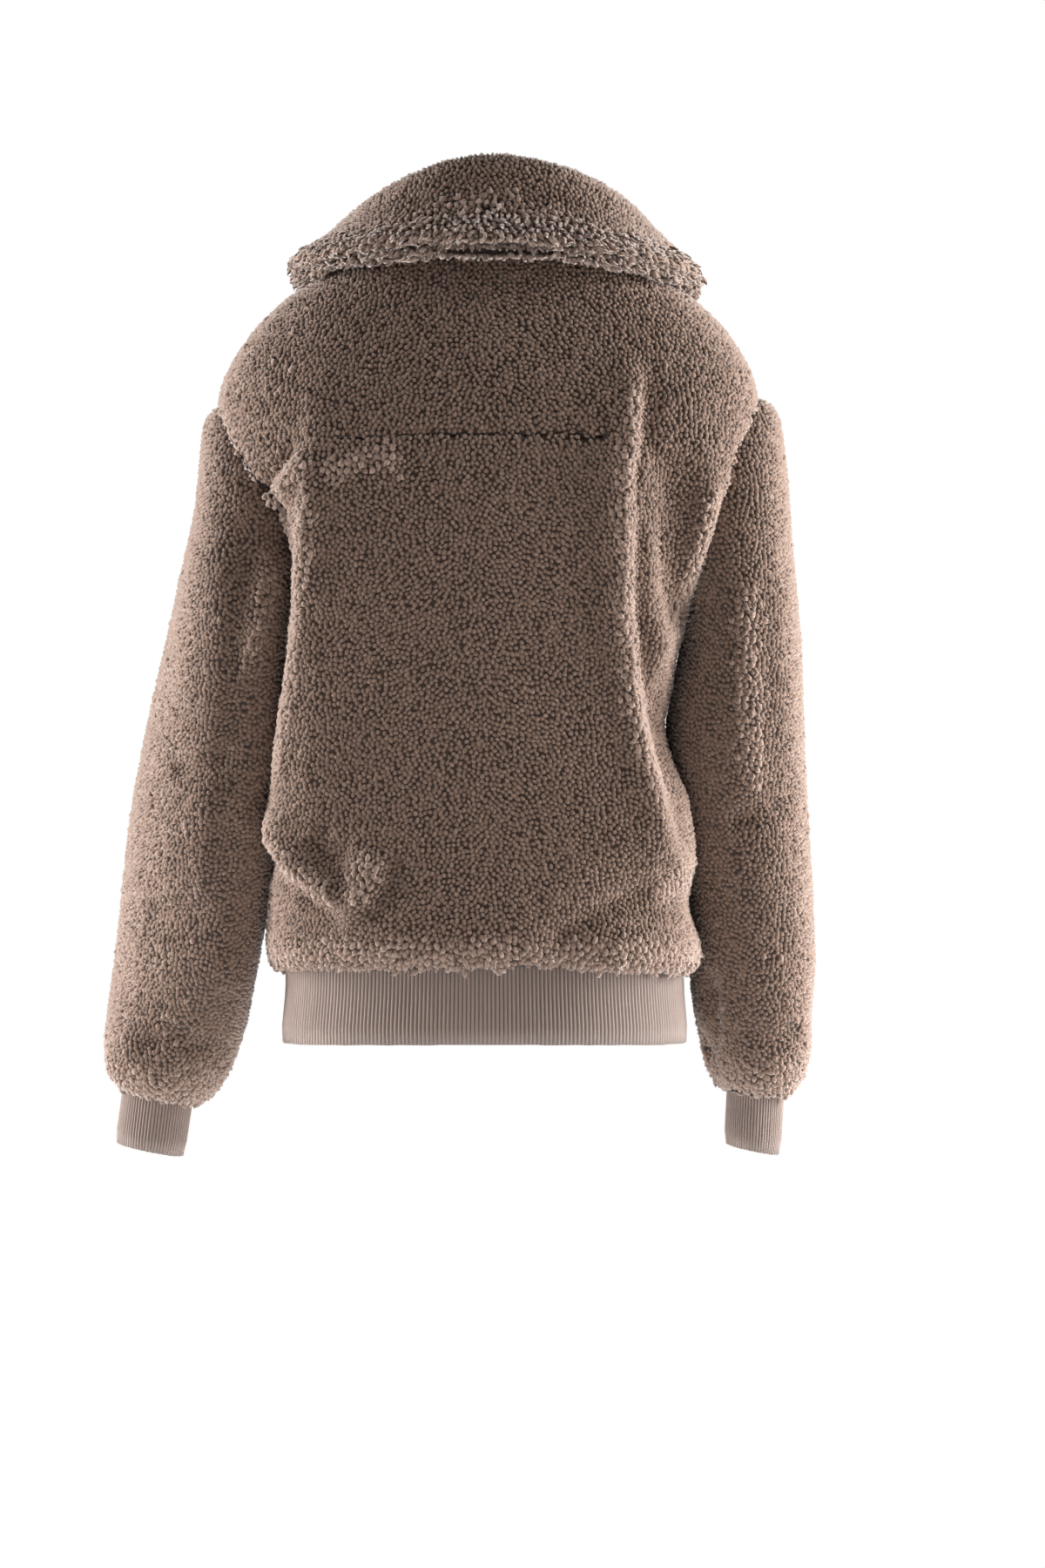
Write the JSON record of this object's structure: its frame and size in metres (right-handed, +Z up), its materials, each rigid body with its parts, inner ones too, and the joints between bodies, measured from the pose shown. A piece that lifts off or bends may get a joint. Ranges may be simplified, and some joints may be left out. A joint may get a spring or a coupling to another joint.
{
  "type": "fleece jacket",
  "caption": "Hollow, worn-shape bomber jacket of thick pile fleece with a wide turned-down collar, full sleeves gathered into rib cuffs, a rib hem band and a centre front zip.",
  "frame": {"origin": "middle of the neck base, where the wearer's shoulders carry the jacket", "axes": "+Z up; the wearer faces -Y; +X is the wearer's left"},
  "size_m": [0.5966, 0.269, 0.8232],
  "materials": {
    "fleece": "deep curled taupe-brown pile",
    "facing": "curled taupe-brown pile",
    "rib_knit": "ribbed knit with a soft sheen",
    "zip_tape": "woven tape with moulded teeth",
    "zip_metal": "satin metal"
  },
  "bodies": {
    "garment": {"back": "fleece", "back_yoke": "fleece", "front_left": "fleece", "front_right": "fleece", "sleeve_left": "fleece", "sleeve_right": "fleece", "upper_collar": "fleece", "under_collar": "facing", "cuff_left": "rib_knit", "cuff_right": "rib_knit", "hem_band": "rib_knit", "zip_tape_left": "zip_tape", "zip_tape_right": "zip_tape", "zip_slider": "zip_metal"},
    "pull_tab": {"zip_pull": "zip_metal"}
  },
  "joints": [
    {"name": "pull_tab_hinge", "type": "hinge", "parent": "garment", "child": "pull_tab", "pos_m": [0, -0.08914, -0.08622], "axis": [-1, 0, 0], "range_deg": [0, 120]}
  ]
}
